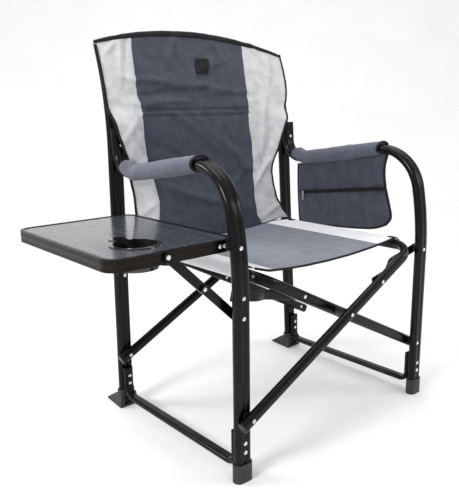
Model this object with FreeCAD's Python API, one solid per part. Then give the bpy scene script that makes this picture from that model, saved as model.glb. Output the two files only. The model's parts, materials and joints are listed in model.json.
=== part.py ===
"""Folding camp chair with a flap-down side table and a zipped side pocket.

Millimetres. +Z up, the sitter faces -Y. The side table is on -X and the pocket on +X.
The model is drawn about the chair's own middle, then moved so that the origin is at the
middle of the base of its bounding box.
"""
import FreeCAD, Part
import os
from math import asin, atan, cos, degrees, radians, sin, sqrt, tan

Vector = FreeCAD.Vector
X, Y, Z = Vector(1, 0, 0), Vector(0, 1, 0), Vector(0, 0, 1)

# ---- driving dimensions ----
running = 0.05            # radial clearance of a pin that turns in a hole
gap = 0.3                 # clearance between faces that slide past each other

leg_x = 303.0             # half the distance between the two side frames
front_leg_y = -216.0
back_leg_y = 236.0
leg_width, leg_depth, leg_wall = 38.0, 20.0, 1.5
groove_width, groove_depth = 8.0, 1.2
leg_foot_z = 4.0

lean_start_z, lean_radius, lean_angle = 385.0, 810.0, 11.4
arch_radius, arm_slope = 113.5, 8.5
arm_join_y, arm_join_z, arm_join_lean = 235.0, 660.0, 3.5
arm_rear_radius, arm_top_z = 55.0, 700.0
arm_yaw = 2.25            # each arm runs slightly inwards towards the back
upright_lean, upright_top_angle, upright_radius = 1.7, 20.0, 700.0
upright_bend_z, upright_top_z = 650.0, 893.0
side_lean = 1.5           # each upright leans inwards

foot_x, foot_z = 298.0, 141.0          # lower pivots of the cross frames
rail_x, rail_z = 230.0, 409.2          # seat rails
bar_height, bar_depth, bar_wall = 25.0, 19.0, 1.5
bar_bend, bar_tail = 45.0, 24.0
pocket_rail_front_y, pocket_rail_back_y = -237.5, 218.5
table_rail_front_y, table_rail_back_y = -194.5, 194.5

link_pivot_z, link_bar_x = 389.6, 108.0
link_width, link_depth = 22.0, 4.5
link_setback = {1: 7.5, -1: 3.2}    # front links stand behind the leg by this, clear of its lean
front_joggle = {1: (102.0, 160.0), -1: (60.0, 100.0)}   # where the front links change plane, from the leg

stretcher_width, stretcher_depth, stretcher_z, stretcher_top = 25.0, 13.0, 30.0, 106.0
stretcher_rivet_z = (64.5, 84.6)

table_top_z, table_height = 501.0, 24.0
table_outer_x, table_inner_x = -565.0, -285.0
table_front_y, table_back_y = -187.5, 205.0
table_corner, table_pivot_z = 32.0, 487.0
board_thickness, rim_wall, rim_lip = 8.0, 2.0, 7.0
cup_x, cup_y, cup_radius, cup_depth, cup_wall = -460.0, -100.0, 41.0, 42.0, 2.0
cup_slot_width, cup_slot_end_y, ring_width, ring_height = 22.0, -29.0, 8.0, 2.2

stay_leg_z, stay_table_x, stay_table_z = 349.0, -450.0, 489.0
stay_lower, stay_upper = 97.0, 106.0
stay_standoff = 0.6      # from the rim to the upper stay
hinge_rivet_x = (-327.5, -316)
stay_width, stay_depth = 18.0, 4.5

pin_radius, rivet_radius = 4.0, 2.5
rivet_head_radius, rivet_head_height = 4.5, 2.2

pad_width, pad_height, pad_front_y, pad_wall_gap = 46.0, 33.0, -92.0, 0.3
fabric = 3.0
seat_front_y, seat_back_y, seat_sag = -232.0, 205.0, 16.0
back_corner_z, back_crown_z, back_top_x = 893.0, 938.0, 303.0
back_side_join_z, back_foot_x, back_foot_z = 722.0, 222.0, 436.0

bar_angle = degrees(atan((rail_z - foot_z) / (rail_x + foot_x)))
crossing_z = foot_z + foot_x * tan(radians(bar_angle))
parts = {}


# ---- helpers ----
def at(y, x=0.0, z=0.0):
    return Vector(x, y, z)


def oval(width, depth, grow=0.0, groove=False):
    """Flat-oval outline in the XY plane: width along X, depth along Y."""
    w, d = width / 2 + grow, depth / 2 + grow
    s = w - d
    edges = []
    for side in (1, -1):
        a, b = Vector(side * s, side * d, 0), Vector(-side * s, side * d, 0)
        if groove:
            g = groove_width / 2
            p, q = Vector(side * g, side * d, 0), Vector(-side * g, side * d, 0)
            edges += [Part.LineSegment(a, p), Part.Arc(p, Vector(0, side * (d - groove_depth), 0), q),
                      Part.LineSegment(q, b)]
        else:
            edges.append(Part.LineSegment(a, b))
        edges.append(Part.Arc(b, Vector(-side * w, 0, 0), Vector(-side * s, -side * d, 0)))
    return Part.Wire([e.toShape() for e in edges])


def rounded_path(points, radii):
    """Wire through the points, with a tangent arc of the given radius at each inner point."""
    edges, start = [], points[0]
    for i, radius in enumerate(radii, 1):
        before = (points[i - 1] - points[i]).normalize()
        after = (points[i + 1] - points[i]).normalize()
        half = before.getAngle(after) / 2
        reach = radius / tan(half)
        middle = (before + after).normalize()
        a, b = points[i] + before * reach, points[i] + after * reach
        m = points[i] + middle * (radius / sin(half) - radius)
        if (a - start).Length > 1e-6:
            edges.append(Part.LineSegment(start, a).toShape())
        edges.append(Part.Arc(a, m, b).toShape())
        start = b
    edges.append(Part.LineSegment(start, points[-1]).toShape())
    return Part.Wire(edges)


def tube(path, width, depth, wall=None, width_axis=X, groove=False, grow=0.0):
    """Flat-oval tube along a wire, solid where no wall is given; width_axis sets its turn."""
    start = path.Edges[0].firstVertex().Point
    heading = path.Edges[0].tangentAt(path.Edges[0].FirstParameter)
    side = heading.cross(width_axis).normalize()
    place = FreeCAD.Matrix(width_axis.x, side.x, heading.x, start.x,
                           width_axis.y, side.y, heading.y, start.y,
                           width_axis.z, side.z, heading.z, start.z, 0, 0, 0, 1)
    face = Part.Face(oval(width, depth, grow, groove))
    face.transformShape(place)
    solid = path.makePipe(face)
    if wall is None:
        return solid
    hollow = Part.Face(oval(width, depth, -wall))
    hollow.transformShape(place)
    return solid.cut(path.makePipe(hollow))


def cylinder(radius, x, z, y0, y1):
    """Cylinder along Y from y0 to y1."""
    return Part.makeCylinder(radius, y1 - y0, at(y0, x, z), Y)


def dome(x, z, y, towards):
    """Rivet head on the plane y, bulging along Y in the direction given (+1 or -1)."""
    h, r = rivet_head_height, rivet_head_radius
    ball = (r * r + h * h) / (2 * h)
    low = degrees(atan((ball - h) / sqrt(ball * ball - (ball - h) ** 2)))
    return Part.makeSphere(ball, at(y - towards * (ball - h), x, z), Y * towards, low, 90, 360)


def rivet(x, z, y0, y1, radius=rivet_radius, heads=(True, True)):
    body = cylinder(radius, x, z, y0, y1)
    if heads[0]:
        body = body.fuse(dome(x, z, y0, -1))
    if heads[1]:
        body = body.fuse(dome(x, z, y1, 1))
    return body.removeSplitter()


def washer(x, z, y0, y1, radius, bore):
    return cylinder(radius, x, z, y0, y1).cut(cylinder(bore, x, z, y0 - 1, y1 + 1))


def group(shapes):
    return Part.makeCompound(shapes)


def mirror(shape):
    return shape.mirror(Vector(0, 0, 0), X)


def prism(wire, direction):
    return Part.Face(wire).extrude(direction)


def rounded_slab(x0, x1, y0, y1, z0, z1, radius, inset=0.0):
    """Plate with rounded corners, its outline set in by the given amount."""
    x0, x1, y0, y1, r = x0 + inset, x1 - inset, y0 + inset, y1 - inset, radius - inset
    block = Part.makeBox(x1 - x0, y1 - y0, z1 - z0, Vector(x0, y0, z0))
    corners = [e for e in block.Edges if abs(e.tangentAt(e.FirstParameter).z) > 0.99]
    return block.makeFillet(r, corners)


# ---- side frames ----
def arm_path(end_y=None):
    """Centre line of the front leg, arch and arm, in the plane x = 0."""
    lean, slope = radians(lean_angle), radians(arm_slope)
    knee_z = lean_start_z + lean_radius * tan(lean / 2)
    bent_y = front_leg_y + lean_radius * (1 - cos(lean))
    bent_z = lean_start_z + lean_radius * sin(lean)
    centre_y = bent_y + arch_radius * cos(lean)
    centre_z = bent_z - arch_radius * sin(lean)
    arm_y = centre_y + arch_radius * sin(slope)
    arm_z = centre_z + arch_radius * cos(slope)
    # corner of the leaning leg and the arm line
    reach = ((arm_z - knee_z) - (front_leg_y - arm_y) * tan(slope)) / (cos(lean) + sin(lean) * tan(slope))
    crown = at(front_leg_y + reach * sin(lean), z=knee_z + reach * cos(lean))
    # corner of the arm line and the stretch that lies along the upright
    join = tan(radians(arm_join_lean))
    rear_y = (arm_join_y + join * (arm_z + arm_y * tan(slope) - arm_join_z)) / (1 + join * tan(slope))
    rear = at(rear_y, z=arm_z - (rear_y - arm_y) * tan(slope))
    top = at(arm_join_y + join * (arm_top_z - arm_join_z), z=arm_top_z)
    if end_y is not None:
        first = at(end_y, z=arm_z - (end_y - arm_y) * tan(slope))
        tilt = radians(38.0)
        last_corner = rear - (rear - first).normalize() * (arm_rear_radius / tan(radians(85.0 / 2)) * 0.98)
        last = last_corner + at(34 * cos(tilt - slope), z=34 * sin(tilt - slope))
        return rounded_path([first, last_corner, last], [arm_rear_radius])
    points = [at(front_leg_y, z=leg_foot_z), at(front_leg_y, z=knee_z), crown, rear, top]
    return rounded_path(points, [lean_radius, arch_radius, arm_rear_radius])


def back_path():
    lean, top = radians(upright_lean), radians(upright_top_angle)
    knee = at(back_leg_y + upright_bend_z * tan(lean) , z=upright_bend_z)
    reach = upright_radius * tan((top - lean) / 2)
    corner = knee + at(reach * sin(lean), z=reach * cos(lean))
    end = corner + at((upright_top_z - corner.z) * tan(top), z=upright_top_z - corner.z)
    start = at(back_leg_y + leg_foot_z * tan(lean), z=leg_foot_z)
    return rounded_path([start, corner, end], [upright_radius])


def lean_in(shape):
    shape = shape.copy()
    shape.rotate(at(back_leg_y), Y, -side_lean)
    shape.translate(X * leg_x)
    return shape


def yaw_in(shape):
    shape = shape.copy()
    shape.rotate(at(front_leg_y), Z, arm_yaw)
    shape.translate(X * leg_x)
    return shape


def back_leg_centre_y(z):
    return back_leg_y + z * tan(radians(upright_lean))


back_face_front = back_leg_y - leg_depth / 2
leg_front = front_leg_y - leg_depth / 2
leg_inner = front_leg_y + leg_depth / 2
foot_back_y = back_leg_centre_y(foot_z) - leg_depth / 2 / cos(radians(upright_lean))
foot_rear_y = foot_back_y + leg_depth / cos(radians(upright_lean))
link_back_y = back_leg_centre_y(link_pivot_z) - leg_depth / 2 / cos(radians(upright_lean))
link_rear_y = link_back_y + leg_depth / cos(radians(upright_lean))
stay_back_y = back_leg_centre_y(stay_leg_z) - leg_depth / 2 / cos(radians(upright_lean))
hinge_back_y = back_leg_centre_y(table_pivot_z) - leg_depth / 2 / cos(radians(upright_lean))
hinge_rear_y = hinge_back_y + leg_depth / cos(radians(upright_lean))
half_bar = bar_depth / 2


def drill(shape, holes, radius, y0=-260, y1=300):
    for x, z in holes:
        shape = shape.cut(cylinder(radius, x, z, y0, y1))
    return shape


def side_frame(prefix, is_table_side):
    """One side of the chair, drawn on +X and mirrored for the table side."""
    def keep(name, shape):
        parts[prefix + "_" + name] = mirror(shape) if is_table_side else shape

    leg = yaw_in(tube(arm_path(), leg_width, leg_depth, leg_wall, groove=True))
    upright = lean_in(tube(back_path(), leg_width, leg_depth, leg_wall, groove=True))

    # floor stretcher: a flat-oval tube with its ends bent up against the legs
    riser = stretcher_depth / 2 + 0.5
    rear_shift = back_leg_centre_y(80.0) - back_leg_y - 1.0
    points = [at(leg_inner + riser, leg_x, stretcher_top), at(leg_inner + riser, leg_x, stretcher_z),
              at(back_face_front - riser + rear_shift - 0.4, leg_x, stretcher_z),
              at(back_face_front - riser + rear_shift, leg_x, stretcher_top)]
    stretcher = tube(rounded_path(points, [22, 22]), stretcher_width, stretcher_depth, 1.2)
    stretcher = drill(stretcher, [(leg_x - 1, z) for z in stretcher_rivet_z], rivet_radius)
    rivets = []
    for z in stretcher_rivet_z:
        rivets.append(rivet(leg_x - 1, z, leg_front, leg_inner + riser + stretcher_depth / 2))
        front = back_face_front - 2 * riser + rear_shift + 0.3
        rear = back_leg_y + leg_depth / 2 + z * tan(radians(upright_lean))
        rivets.append(rivet(leg_x - 1, z, front, rear))
    arm_x = leg_x - (arm_join_y - front_leg_y) * tan(radians(arm_yaw))
    arm_rivet_front = arm_join_y - leg_depth / 2
    rivets.append(rivet(arm_x, arm_join_z, arm_rivet_front, back_leg_centre_y(arm_join_z) + leg_depth / 2))

    # pivot pins of the cross frames, links, and (table side) table and stays
    if is_table_side:
        foot_pins = [rivet(foot_x, foot_z, pocket_rail_front_y - half_bar - gap, leg_inner, pin_radius),
                     rivet(foot_x, foot_z, pocket_rail_back_y - half_bar - gap, foot_rear_y, pin_radius)]
        washers = [washer(foot_x, foot_z, pocket_rail_front_y + half_bar + gap, leg_front, 11, pin_radius),
                   washer(foot_x, foot_z, pocket_rail_back_y + half_bar + gap, foot_back_y + 0.6, 11, pin_radius)]
    else:
        foot_pins = [rivet(foot_x, foot_z, leg_front, table_rail_front_y + half_bar + gap, pin_radius),
                     rivet(foot_x, foot_z, table_rail_back_y - half_bar - gap, foot_rear_y, pin_radius)]
        washers = [washer(foot_x, foot_z, leg_inner, table_rail_front_y - half_bar - gap, 11, pin_radius),
                   washer(foot_x, foot_z, table_rail_back_y + half_bar + gap, foot_back_y + 0.6, 9, pin_radius)]
    front_link_y = link_front_y[-1 if is_table_side else 1]
    link_reach = link_depth / 2 + gap
    link_pins = [rivet(leg_x, link_pivot_z, leg_front, front_link_y + link_reach, pin_radius,
                       (True, not is_table_side)),
                 rivet(leg_x, link_pivot_z, link_rear_y_centre - link_reach, link_rear_y, pin_radius,
                       (not is_table_side, True))]
    link_washers = [washer(leg_x, link_pivot_z, leg_inner - 0.5, front_link_y - link_reach, 8, pin_radius),
                    washer(leg_x, link_pivot_z, link_rear_y_centre + link_reach, link_back_y + 0.5,
                           8, pin_radius)]
    holes = [(foot_x, foot_z), (leg_x, link_pivot_z)]
    if is_table_side:
        front_stay_y, rear_stay_y = lower_stay_y(True), lower_stay_y(False)
        stay_pins = [rivet(leg_x, stay_leg_z, leg_front, front_stay_y + stay_depth / 2, pin_radius,
                           (True, False)),
                     rivet(leg_x, stay_leg_z, rear_stay_y - stay_depth / 2, stay_back_y + leg_depth + 0.1,
                           pin_radius, (False, True))]
        stay_bushes = [washer(leg_x, stay_leg_z, leg_inner, front_stay_y - stay_depth / 2 - gap, 7, pin_radius),
                       washer(leg_x, stay_leg_z, rear_stay_y + stay_depth / 2 + gap, stay_back_y + 0.5,
                              7, pin_radius)]
        hinge_lean = asin((table_pivot_z - lean_start_z) / lean_radius)
        hinge_front = leg_front + lean_radius * (1 - cos(hinge_lean))
        hinge_pins = [rivet(leg_x, table_pivot_z, hinge_front, table_front_y + rim_wall, pin_radius,
                            (True, False)),
                      rivet(leg_x, table_pivot_z, table_back_y - rim_wall, hinge_rear_y + 0.1, pin_radius,
                            (False, True))]
        hinge_bushes = [washer(leg_x, table_pivot_z, leg_inner, table_front_y - gap, 7, pin_radius),
                        washer(leg_x, table_pivot_z, table_back_y + gap, hinge_back_y + 0.5, 7, pin_radius)]
        holes += [(leg_x, stay_leg_z), (leg_x, table_pivot_z)]

    leg = drill(leg, holes, pin_radius)
    upright = drill(upright, holes, pin_radius)
    leg = drill(leg, [(leg_x - 1, z) for z in stretcher_rivet_z] + [(arm_x, arm_join_z)], rivet_radius)
    upright = drill(upright, [(leg_x - 1, z) for z in stretcher_rivet_z] + [(arm_x, arm_join_z)], rivet_radius)
    solid_leg = yaw_in(tube(arm_path(), leg_width, leg_depth))
    solid_upright = lean_in(tube(back_path(), leg_width, leg_depth))
    upright = upright.cut(solid_leg)
    stretcher = stretcher.cut(solid_leg).cut(solid_upright)

    keep("front_leg_and_arm", leg)
    keep("back_leg", upright)
    keep("floor_stretcher", stretcher)

    def trim(shapes):
        return group([s.cut(solid_leg).cut(solid_upright).Solids[0] for s in shapes])

    keep("frame_rivets", group(rivets).cut(leg))
    keep("cross_frame_pins", group(foot_pins))
    keep("cross_frame_washers", trim(washers))
    keep("link_pins", group(link_pins))
    keep("link_washer", trim(link_washers))
    if is_table_side:
        keep("stay_pins", group(stay_pins))
        keep("stay_bushes", trim(stay_bushes))
        keep("hinge_pins", group(hinge_pins))
        keep("hinge_bushes", trim(hinge_bushes))

    # rubber boots: a plain cap in front, a spread anti-tip foot behind
    def front_stub(low, high, grow):
        line = Part.LineSegment(at(front_leg_y, z=low), at(front_leg_y, z=high))
        return yaw_in(tube(Part.Wire([line.toShape()]), leg_width, leg_depth, grow=grow))

    keep("front_boot", front_stub(0, 40, 3).cut(solid_leg).cut(front_stub(leg_foot_z, 60, 0)))
    keep("back_boot", back_boot(solid_upright))
    keep("upright_cap", upright_cap())

    # padded arm sleeve, cut to fit round the tube
    pad_line = arm_path(pad_front_y)
    pad = yaw_in(tube(pad_line, pad_width, pad_height))
    keep("arm_pad", pad.cut(yaw_in(tube(arm_path(), leg_width, leg_depth, grow=pad_wall_gap))))


def back_boot(solid_upright):
    """Cap round the leg with a flat wedge that spreads out behind the foot."""
    lean = tan(radians(upright_lean))
    line = Part.Wire([Part.LineSegment(at(back_leg_y), at(back_leg_y + 44 * lean, z=44)).toShape()])
    cap = lean_in(tube(line, leg_width, leg_depth, grow=3.5))
    low, high = 4.0, 34.0
    half, toe = leg_width / 2 + 7, back_leg_y + 62
    heel = back_leg_y - 15
    base = Part.makePolygon([Vector(leg_x - half, heel, 0), Vector(leg_x + half, heel, 0),
                             Vector(leg_x + half - 6, toe, 0), Vector(leg_x - half + 6, toe, 0),
                             Vector(leg_x - half, heel, 0)])
    rise = Part.makePolygon([Vector(leg_x - half, heel, low), Vector(leg_x + half, heel, low),
                             Vector(leg_x + half - 6, toe, low), Vector(leg_x - half + 6, toe, low),
                             Vector(leg_x - half, heel, low)])
    crest = Part.makePolygon([Vector(leg_x - 22, back_leg_y - 12, high),
                              Vector(leg_x + 21, back_leg_y - 12, high),
                              Vector(leg_x + 18, back_leg_y + 14, high),
                              Vector(leg_x - 19, back_leg_y + 14, high),
                              Vector(leg_x - 22, back_leg_y - 12, high)])
    foot = Part.makeLoft([base, rise], True, True).fuse(Part.makeLoft([rise, crest], True, True))
    boot = cap.fuse(foot).cut(solid_upright)
    below = Part.makeBox(200, 200, 50, Vector(leg_x - 100, back_leg_y - 100, -50))
    riser = Part.makeBox(stretcher_width + 2, 40, 60, Vector(leg_x - stretcher_width / 2 - 1,
                         back_leg_y - leg_depth / 2 - 39.2, 5))
    shell = boot.cut(below).cut(riser).removeSplitter()
    return max(shell.Solids, key=lambda s: s.Volume)


def upright_cap():
    """Plastic plug in the open top of the upright."""
    path = back_path()
    last = path.Edges[-1]
    end = last.valueAt(last.LastParameter)
    way = last.tangentAt(last.LastParameter)
    stem = Part.Wire([Part.LineSegment(end - way * 20, end).toShape()])
    head = Part.Wire([Part.LineSegment(end, end + way * 3).toShape()])
    plug = tube(stem, leg_width, leg_depth, grow=-leg_wall).fuse(tube(head, leg_width, leg_depth))
    return lean_in(plug.removeSplitter())


# ---- cross frames ----
def along_bar(u, y):
    """Point u along a bar from its foot pivot, in the frame whose foot is on -X."""
    a = radians(bar_angle)
    return Vector(-foot_x + u * cos(a), y, foot_z + u * sin(a))


def cross_frame(front_y, back_y):
    """One bent tube: front bar, seat rail, back bar. Foot on -X, rail on +X."""
    length = (rail_x + foot_x) / cos(radians(bar_angle))
    points = [along_bar(-bar_tail, front_y), along_bar(length, front_y),
              along_bar(length, back_y), along_bar(-bar_tail, back_y)]
    a = radians(bar_angle)
    upright = Vector(-sin(a), 0, cos(a))
    return tube(rounded_path(points, [bar_bend, bar_bend]), bar_height, bar_depth, bar_wall, upright)


def end_plugs(front_y, back_y):
    a = radians(bar_angle)
    plugs = []
    for y in (front_y, back_y):
        outer, tip, inner = [along_bar(d - bar_tail, y) for d in (-2.5, 0, 12)]
        stem = Part.Wire([Part.LineSegment(tip, inner).toShape()])
        head = Part.Wire([Part.LineSegment(outer, tip).toShape()])
        axis = Vector(-sin(a), 0, cos(a))
        plug = tube(stem, bar_height, bar_depth, width_axis=axis, grow=-bar_wall)
        plugs.append(plug.fuse(tube(head, bar_height, bar_depth, width_axis=axis)).removeSplitter())
    return plugs


def cross_frames():
    """The pocket-side rail frame stands on the table side, and the other way round."""
    pocket = cross_frame(pocket_rail_front_y, pocket_rail_back_y)
    table = mirror(cross_frame(table_rail_front_y, table_rail_back_y))
    link_z = foot_z + (foot_x + link_bar_x) * tan(radians(bar_angle))
    pocket = drill(pocket, [(-foot_x, foot_z)], pin_radius + running)
    pocket = drill(pocket, [(0, crossing_z)], pin_radius)
    pocket = drill(pocket, [(link_bar_x, link_z)], rivet_radius)
    table = drill(table, [(foot_x, foot_z), (0, crossing_z)], pin_radius + running)
    table = drill(table, [(-link_bar_x, link_z)], rivet_radius)
    parts["pocket_side_seat_frame"] = pocket
    parts["table_side_seat_frame"] = table
    parts["pocket_side_seat_frame_plugs"] = group(end_plugs(pocket_rail_front_y, pocket_rail_back_y))
    parts["table_side_seat_frame_plugs"] = group(
        [mirror(p) for p in end_plugs(table_rail_front_y, table_rail_back_y)])
    front = (pocket_rail_front_y - half_bar, table_rail_front_y + half_bar + gap)
    back = (table_rail_back_y - half_bar - gap, pocket_rail_back_y + half_bar)
    parts["crossing_pins"] = group([rivet(0, crossing_z, *front, pin_radius),
                                    rivet(0, crossing_z, *back, pin_radius)])
    spans = ((pocket_rail_front_y + half_bar, table_rail_front_y - half_bar - gap),
             (table_rail_back_y + half_bar + gap, pocket_rail_back_y - half_bar))
    parts["crossing_spacers"] = group([washer(0, crossing_z, *span, 10, pin_radius) for span in spans])
    for name, x, ys in (("pocket_side", link_bar_x, (pocket_rail_front_y, pocket_rail_back_y)),
                        ("table_side", -link_bar_x, (table_rail_front_y, table_rail_back_y))):
        studs = [rivet(x, link_z, y - half_bar, y + half_bar, heads=(True, False)) for y in ys]
        parts[name + "_bar_studs"] = group(studs)


# ---- links between the legs and the cross frames ----
link_front_y = {side: leg_inner + back + gap + link_depth / 2 for side, back in link_setback.items()}
link_rear_y_centre = pocket_rail_back_y + half_bar + gap + link_depth / 2


def link(leg_y, bar_y, x_side, joggle):
    """Flat-oval link from the leg pivot to the bar, joggled where the two planes differ."""
    link_z = foot_z + (foot_x + link_bar_x) * tan(radians(bar_angle))
    start, end = Vector(leg_x, 0, link_pivot_z), Vector(link_bar_x, 0, link_z)
    run = (end - start).normalize()
    length = (end - start).Length
    tail = link_width / 2

    def point(s, y):
        p = start + run * s
        return Vector(p.x, y, p.z)

    axis = run.cross(Y).normalize()
    if abs(leg_y - bar_y) < 0.5:
        path = Part.Wire([Part.LineSegment(point(-tail, leg_y), point(length + tail, leg_y)).toShape()])
    else:
        path = rounded_path([point(-tail, leg_y), point(joggle[0], leg_y), point(joggle[1], bar_y),
                             point(length + tail, bar_y)], [40, 40])
    bar = tube(path, link_width, link_depth, width_axis=axis)
    bar = bar.cut(cylinder(pin_radius + running, leg_x, link_pivot_z, leg_y - 8, leg_y + 8))
    bar = bar.cut(cylinder(rivet_radius, link_bar_x, link_z, bar_y - 8, bar_y + 8))
    stud = rivet(link_bar_x, link_z, bar_y - link_depth / 2, bar_y + link_depth / 2, heads=(False, True))
    if x_side < 0:
        return mirror(bar), mirror(stud)
    return bar, stud


def links():
    behind = half_bar + gap + link_depth / 2
    for name, x_side, front_bar, back_bar in (
            ("pocket_side", 1, pocket_rail_front_y, pocket_rail_back_y),
            ("table_side", -1, table_rail_front_y, table_rail_back_y)):
        front, front_stud = link(link_front_y[x_side], front_bar + behind, x_side, front_joggle[x_side])
        back, back_stud = link(link_rear_y_centre, back_bar + behind, x_side, (48.0, 110.0))
        parts[name + "_front_link"] = front
        parts[name + "_back_link"] = back
        parts[name + "_link_studs"] = group([front_stud, back_stud])


# ---- side table ----
def upper_stay_y(front):
    if front:
        return table_front_y - stay_standoff - stay_depth / 2
    return table_back_y + stay_standoff + stay_depth / 2


def lower_stay_y(front):
    return upper_stay_y(front) + (-1 if front else 1) * (stay_depth + gap)


def knuckle():
    """Where the two stay links meet: on the line from the leg pivot to the table pivot."""
    leg = Vector(-leg_x, 0, stay_leg_z)
    table = Vector(stay_table_x, 0, stay_table_z)
    run = table - leg
    u = (run.Length ** 2 + stay_lower ** 2 - stay_upper ** 2) / (2 * run.Length)
    rise = sqrt(max(stay_lower ** 2 - u * u, 0))
    along = run * (1 / run.Length)
    across = Vector(-along.z, 0, along.x)
    if across.z < 0:
        across = across * -1
    return leg + along * u + across * rise


def flat_link(a, b, y, holes):
    """Flat bar with round ends between two points in the plane y; holes gives each end's bore."""
    run = (b - a).normalize()
    side = Vector(-run.z, 0, run.x) * (stay_width / 2)
    tip = run * (stay_width / 2)
    edges = [Part.LineSegment(a + side, b + side), Part.Arc(b + side, b + tip, b - side),
             Part.LineSegment(b - side, a - side), Part.Arc(a - side, a - tip, a + side)]
    bar = prism(Part.Wire([e.toShape() for e in edges]), Y * stay_depth)
    bar.translate(Y * (y - stay_depth / 2))
    for point, bore in zip((a, b), holes):
        bar = bar.cut(cylinder(bore, point.x, point.z, y - 5, y + 5))
    return bar


def stays():
    leg, table, knee = Vector(-leg_x, 0, stay_leg_z), Vector(stay_table_x, 0, stay_table_z), knuckle()
    half = stay_depth / 2
    lower_studs, upper_studs = [], []
    for place, front in (("front", True), ("back", False)):
        low, up = lower_stay_y(front), upper_stay_y(front)
        out = -1 if front else 1
        parts[place + "_lower_stay"] = flat_link(leg, knee, low, (pin_radius + running, rivet_radius))
        parts[place + "_upper_stay"] = flat_link(knee, table, up, (rivet_radius, rivet_head_radius + running))
        face = sorted((up - half, up + half))
        studs = sorted((low - half, low + half))
        lower_studs.append(rivet(knee.x, knee.z, *studs, heads=(out < 0, out > 0)))
        upper_studs.append(cylinder(rivet_radius, knee.x, knee.z, *face))
    parts["lower_stay_studs"] = group(lower_studs)
    parts["upper_stay_studs"] = group(upper_studs)


def table():
    z1, z0 = table_top_z, table_top_z - table_height
    box = (table_outer_x, table_inner_x, table_front_y, table_back_y)
    rim = rounded_slab(*box, z0, z1, table_corner)
    rim = rim.cut(rounded_slab(*box, z0 + 1.5, z1 - 1.2, table_corner, rim_wall))
    rim = rim.cut(rounded_slab(*box, z0 - 1, z1 + 1, table_corner, rim_lip))
    for low in (z0 + 4.5, z1 - 7.5):
        band = rounded_slab(*box, low, low + 3, table_corner).cut(
            rounded_slab(*box, low, low + 3, table_corner, 0.8))
        rim = rim.cut(band)
    holes = [(-leg_x, table_pivot_z)]
    rim = drill(rim, holes, pin_radius + running)
    rim = drill(rim, [(stay_table_x, stay_table_z)], rivet_radius)
    rim = drill(rim, [(x, table_pivot_z + 2) for x in hinge_rivet_x], rivet_radius)
    board_top = z1 - 1.2
    board = rounded_slab(*box, board_top - board_thickness, board_top, table_corner, rim_wall)

    def cup_outline(grow):
        """Round cup joined to a slot for a mug's handle."""
        r, half = cup_radius + grow, cup_slot_width / 2 + grow
        end = cup_slot_end_y + grow
        meet = cup_y + sqrt(r * r - half * half)
        a, b = Vector(cup_x - half, meet, 0), Vector(cup_x + half, meet, 0)
        tip = Vector(cup_x, end, 0)
        c, d = Vector(cup_x + half, end - half, 0), Vector(cup_x - half, end - half, 0)
        edges = [Part.Arc(a, Vector(cup_x, cup_y - r, 0), b), Part.LineSegment(b, c),
                 Part.Arc(c, tip, d), Part.LineSegment(d, a)]
        return Part.Wire([e.toShape() for e in edges])

    def cup_solid(grow, low, high):
        solid = prism(cup_outline(grow), Z * (high - low))
        solid.translate(Z * low)
        return solid

    floor_z = board_top - cup_depth
    board = board.cut(cup_solid(cup_wall, board_top - board_thickness - 1, board_top + 1))
    ring = cup_solid(ring_width, board_top, board_top + ring_height)
    cup = cup_solid(cup_wall, floor_z - 2, board_top).fuse(ring)
    cup = cup.cut(cup_solid(0, floor_z, board_top + ring_height + 1)).removeSplitter()

    half = stay_depth / 2
    pins, brackets = [], []
    for front in (True, False):
        face, way = (table_front_y, 1) if front else (table_back_y, -1)
        stay = upper_stay_y(front)
        disc = sorted((stay - way * half, stay + way * half))
        body = sorted((stay + way * half, face + way * 6))
        pins.append(cylinder(rivet_head_radius, stay_table_x, stay_table_z, *disc).fuse(
            cylinder(rivet_radius, stay_table_x, stay_table_z, *body)).fuse(
            cylinder(4.5, stay_table_x, stay_table_z, *sorted((stay + way * half, face)))).removeSplitter())
        for x in hinge_rivet_x:
            pins.append(rivet(x, table_pivot_z + 2, *sorted((face, face + way * 6)), heads=(front, not front)))
        plate_y = sorted((face + way * rim_wall, face + way * 6))
        plate = Part.makeBox(60, plate_y[1] - plate_y[0], 12, Vector(-352, plate_y[0], table_pivot_z - 8))
        plate = drill(plate, [(x, table_pivot_z + 2) for x in hinge_rivet_x], rivet_radius)
        plate = drill(plate, holes, pin_radius + 1.5)
        brackets.append(max(plate.cut(rim).Solids, key=lambda s: s.Volume))
    parts["table_board"] = board
    parts["table_rim"] = rim
    parts["cup_holder"] = cup
    parts["table_rivets"] = group(pins)
    parts["table_hinge_plates"] = group(brackets)


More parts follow.
